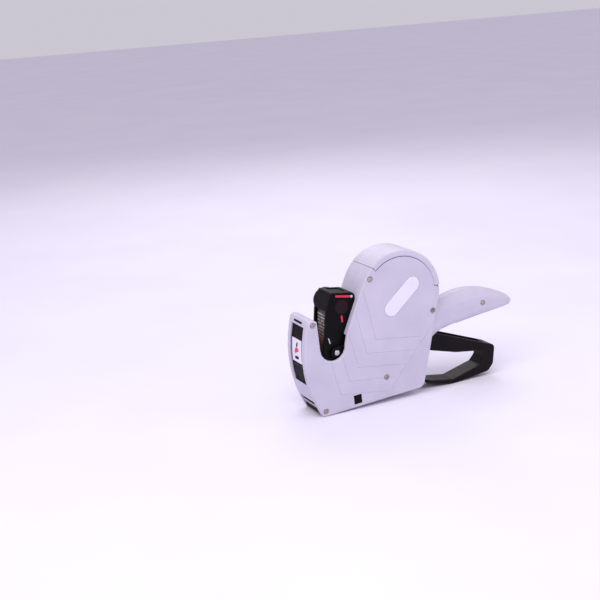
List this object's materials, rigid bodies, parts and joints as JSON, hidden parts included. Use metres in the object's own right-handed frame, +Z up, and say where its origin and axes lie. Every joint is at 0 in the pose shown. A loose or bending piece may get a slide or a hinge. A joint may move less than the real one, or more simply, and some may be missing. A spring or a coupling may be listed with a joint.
{
  "type": "price labeling gun",
  "caption": "Hand-held price labeler: squeezing the sprung lever swings a black print head down onto the label strip; covers open for the roll and the ink.",
  "frame": {"origin": "bottom centre of the bounding box: the floor under the standing gun", "axes": "+X from the nose to the end of the handle, +Y towards the selector knob's side, +Z up"},
  "size_m": [0.2116, 0.0396, 0.1306],
  "materials": {
    "shell_white": "fine satin moulding, pale grey-white",
    "cover_white": "fine satin moulding, pale grey-white",
    "black_plastic": "smooth satin black moulding",
    "red_plastic": "bright red",
    "steel": "bright zinc-plated steel",
    "screw_steel": "nickel-plated screw",
    "rubber_grey": "soft grey rubber",
    "band_rubber": "moulded rubber type band",
    "wheel_plastic": "natural white plastic",
    "felt_ink": "ink-soaked felt",
    "label_paper": "white coated label stock",
    "cardboard": "brown core board",
    "card_white": "white printed card"
  },
  "bodies": {
    "casing": {"left_shell": "shell_white", "right_shell": "shell_white", "screw_top": "screw_steel", "screw_rear": "screw_steel", "screw_lower": "screw_steel", "screw_nose_axle": "screw_steel", "screw_nose": "screw_steel", "screw_handle": "screw_steel", "side_badge": "card_white", "lever_pivot_pin": "steel", "lever_spring": "steel", "ink_arm_pin": "steel", "peel_plate": "steel", "feed_axle": "steel"},
    "top_cover": {"top_cover": "cover_white"},
    "bottom_cover": {"bottom_cover": "shell_white", "platen_block": "shell_white", "platen_pad": "rubber_grey"},
    "ink_door": {"ink_door": "black_plastic", "door_card": "card_white"},
    "lever": {"trigger_lever": "black_plastic", "arm_drive_pin": "steel", "head_arm_left": "black_plastic", "head_arm_right": "black_plastic", "head_screw_left": "steel", "head_screw_right": "steel", "head_housing": "black_plastic", "head_side_plate": "black_plastic", "head_side_cap": "black_plastic", "pointer_bar": "red_plastic", "pointer_rivet": "steel", "type_anvil": "steel", "type_band_1": "band_rubber", "type_band_2": "band_rubber", "type_band_3": "band_rubber", "type_band_4": "band_rubber", "type_band_5": "band_rubber", "type_band_6": "band_rubber", "type_band_7": "band_rubber", "type_band_8": "band_rubber", "band_wheel_1": "wheel_plastic", "band_wheel_2": "wheel_plastic", "band_wheel_3": "wheel_plastic", "band_wheel_4": "wheel_plastic", "band_wheel_5": "wheel_plastic", "band_wheel_6": "wheel_plastic", "band_wheel_7": "wheel_plastic"},
    "selector_carriage": {"selector_collar": "black_plastic"},
    "selector_knob": {"selector_knob": "black_plastic"},
    "type_wheel": {"band_wheel_8": "wheel_plastic"},
    "ink_arm": {"ink_arm": "black_plastic"},
    "ink_roller": {"ink_roller": "felt_ink"},
    "applicator_roller": {"applicator_roller": "rubber_grey"},
    "feed_wheel": {"feed_wheel": "wheel_plastic"},
    "feed_pawl": {"feed_pawl": "steel"},
    "label_roll": {"label_core": "cardboard", "label_roll": "label_paper"},
    "latch_button_left": {"latch_button_left": "black_plastic"},
    "latch_button_right": {"latch_button_right": "black_plastic"}
  },
  "joints": [
    {"name": "top_cover_hinge", "type": "hinge", "parent": "casing", "child": "top_cover", "pos_m": [0.02303, -0.00245, 0.0953], "axis": [0, 1, 0], "range_deg": [0, 95]},
    {"name": "bottom_cover_hinge", "type": "hinge", "parent": "casing", "child": "bottom_cover", "pos_m": [-0.00258, -0.00245, 0.00873], "axis": [0, 1, 0], "range_deg": [-70, 0]},
    {"name": "ink_door_hinge", "type": "hinge", "parent": "casing", "child": "ink_door", "pos_m": [-0.10114, -0.00245, 0.02941], "axis": [0, 1, 0], "range_deg": [-70, 0]},
    {"name": "lever_hinge", "type": "hinge", "parent": "casing", "child": "lever", "pos_m": [0.00628, -0.00245, 0.05475], "axis": [0, 1, 0], "range_deg": [-17, 0], "stiffness_Nm_per_rad": 0.25, "springref_deg": 20.05, "deforming": ["lever_spring"]},
    {"name": "selector_slide", "type": "slide", "parent": "lever", "child": "selector_carriage", "axis": [0, 1, 0], "range_m": [0, 0.006]},
    {"name": "selector_spin", "type": "hinge", "parent": "selector_carriage", "child": "selector_knob", "pos_m": [-0.06639, -0.00245, 0.08964], "axis": [0, 1, 0], "continuous": true},
    {"name": "type_wheel_spin", "type": "hinge", "parent": "lever", "child": "type_wheel", "pos_m": [-0.06639, -0.00245, 0.08964], "axis": [0, 1, 0], "continuous": true},
    {"name": "ink_arm_swing", "type": "hinge", "parent": "casing", "child": "ink_arm", "pos_m": [-0.09519, -0.00245, 0.0217], "axis": [0, 1, 0], "range_deg": [-10, 0], "stiffness_Nm_per_rad": 0.02, "springref_deg": 6.88},
    {"name": "ink_roller_spin", "type": "hinge", "parent": "ink_arm", "child": "ink_roller", "pos_m": [-0.09163, -0.00245, 0.05001], "axis": [0, 1, 0], "continuous": true},
    {"name": "applicator_spin", "type": "hinge", "parent": "casing", "child": "applicator_roller", "pos_m": [-0.0892, -0.00245, 0.00457], "axis": [0, 1, 0], "continuous": true},
    {"name": "feed_spin", "type": "hinge", "parent": "casing", "child": "feed_wheel", "pos_m": [-0.0498, -0.00245, 0.02483], "axis": [0, 1, 0], "continuous": true},
    {"name": "pawl_swing", "type": "hinge", "parent": "casing", "child": "feed_pawl", "pos_m": [-0.03571, -0.00245, 0.03131], "axis": [0, 1, 0], "range_deg": [0, 20], "stiffness_Nm_per_rad": 0.002, "springref_deg": -14.32},
    {"name": "roll_spin", "type": "hinge", "parent": "casing", "child": "label_roll", "pos_m": [-0.01383, -0.00245, 0.09196], "axis": [0, 1, 0], "continuous": true},
    {"name": "latch_left_press", "type": "slide", "parent": "casing", "child": "latch_button_left", "axis": [0, 1, 0], "range_m": [0, 0.0015], "stiffness_N_per_m": 400, "springref_m": -0.001},
    {"name": "latch_right_press", "type": "slide", "parent": "casing", "child": "latch_button_right", "axis": [0, -1, 0], "range_m": [0, 0.0015], "stiffness_N_per_m": 400, "springref_m": -0.001}
  ],
  "couplings": [
    {"joint": "type_wheel_spin", "follows": "selector_spin", "ratio": 1}
  ]
}
